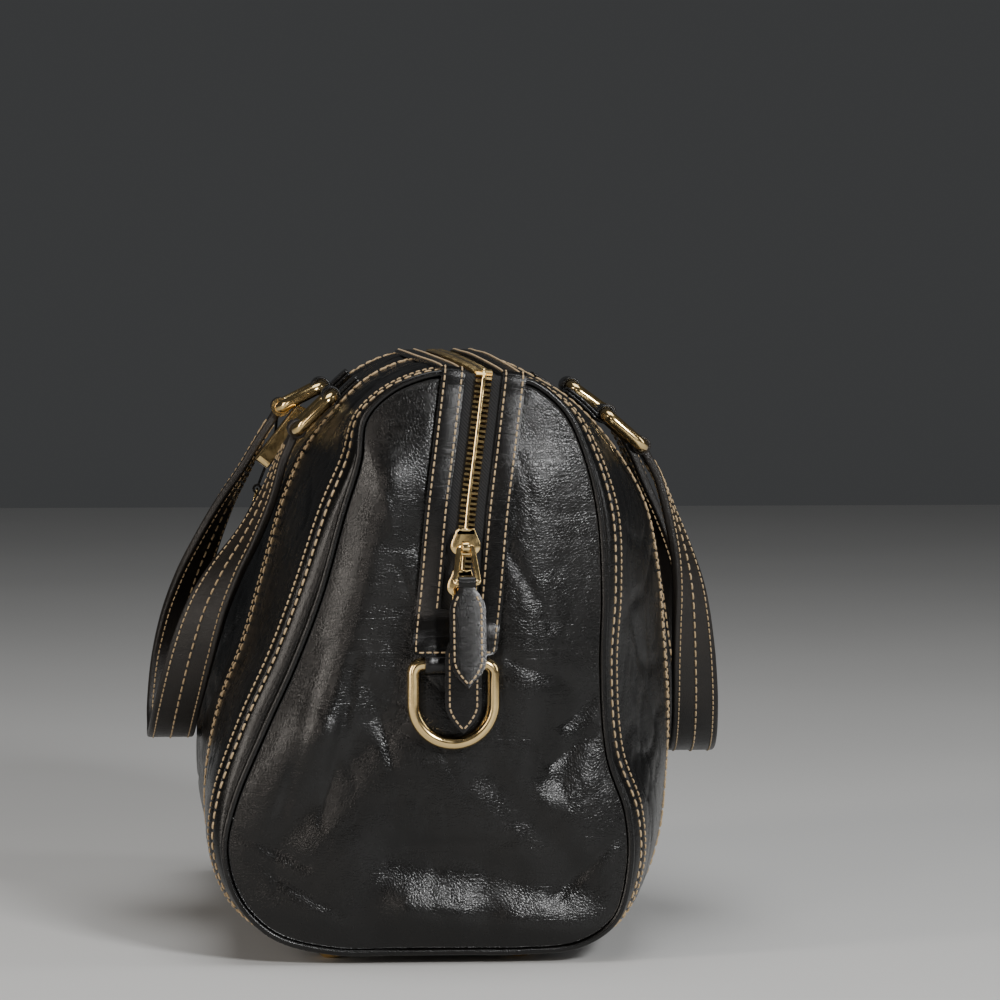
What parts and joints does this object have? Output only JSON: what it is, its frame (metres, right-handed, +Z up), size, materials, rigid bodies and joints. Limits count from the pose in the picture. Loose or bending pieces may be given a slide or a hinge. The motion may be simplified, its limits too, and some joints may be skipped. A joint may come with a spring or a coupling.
{
  "type": "boston bag",
  "caption": "Soft leather boston bag with a zip over the top, hanging strap handles, end rings, a small padlock and brass feet.",
  "frame": {"origin": "middle of the bag’s box on the surface that it stands on", "axes": "+X along the bag towards the end where the zip sliders hang, -Y towards the front, where the padlock hangs, +Z up"},
  "size_m": [0.3984, 0.2696, 0.268],
  "materials": {
    "grained_leather": "glossy grained",
    "smooth_leather": "glossy smooth",
    "brass": "polished",
    "black_tape": "matte woven"
  },
  "bodies": {
    "bag": {"centre_panel": "grained_leather", "side_panel_near": "grained_leather", "side_panel_far": "grained_leather", "end_band_near": "smooth_leather", "end_band_far": "smooth_leather", "piping_near": "smooth_leather", "piping_far": "smooth_leather", "end_panel_near": "grained_leather", "end_panel_far": "grained_leather", "zip_surround": "smooth_leather", "zip_tape": "black_tape", "zip_chain": "brass", "slider_1": "brass", "slider_2": "brass", "puller_2": "brass", "pull_tab_2": "smooth_leather", "foot_near_front": "brass", "foot_near_back": "brass", "foot_far_front": "brass", "foot_far_back": "brass", "handle_ring_near_front": "brass", "ring_loop_near_front": "smooth_leather", "handle_ring_far_front": "brass", "ring_loop_far_front": "smooth_leather", "handle_ring_near_back": "brass", "ring_loop_near_back": "smooth_leather", "handle_ring_far_back": "brass", "ring_loop_far_back": "smooth_leather", "handle_front": "smooth_leather", "handle_back": "smooth_leather", "lock_body": "brass", "lock_shackle": "brass", "key_strap": "smooth_leather", "key_ring": "brass"},
    "near_ring": {"ring_near": "brass"},
    "far_ring": {"ring_far": "brass"},
    "pull": {"puller_1": "brass", "pull_tab_1": "smooth_leather"}
  },
  "joints": [
    {"name": "near_ring_hinge", "type": "hinge", "parent": "bag", "child": "near_ring", "pos_m": [0.18053, -0.0004, 0.134], "axis": [0, -1, 0], "range_deg": [0, 110]},
    {"name": "far_ring_hinge", "type": "hinge", "parent": "bag", "child": "far_ring", "pos_m": [-0.19421, -0.0004, 0.134], "axis": [0, 1, 0], "range_deg": [0, 110]},
    {"name": "pull_hinge", "type": "hinge", "parent": "bag", "child": "pull", "pos_m": [0.17972, 0.00515, 0.185], "axis": [0, -1, 0], "range_deg": [0, 110]}
  ]
}
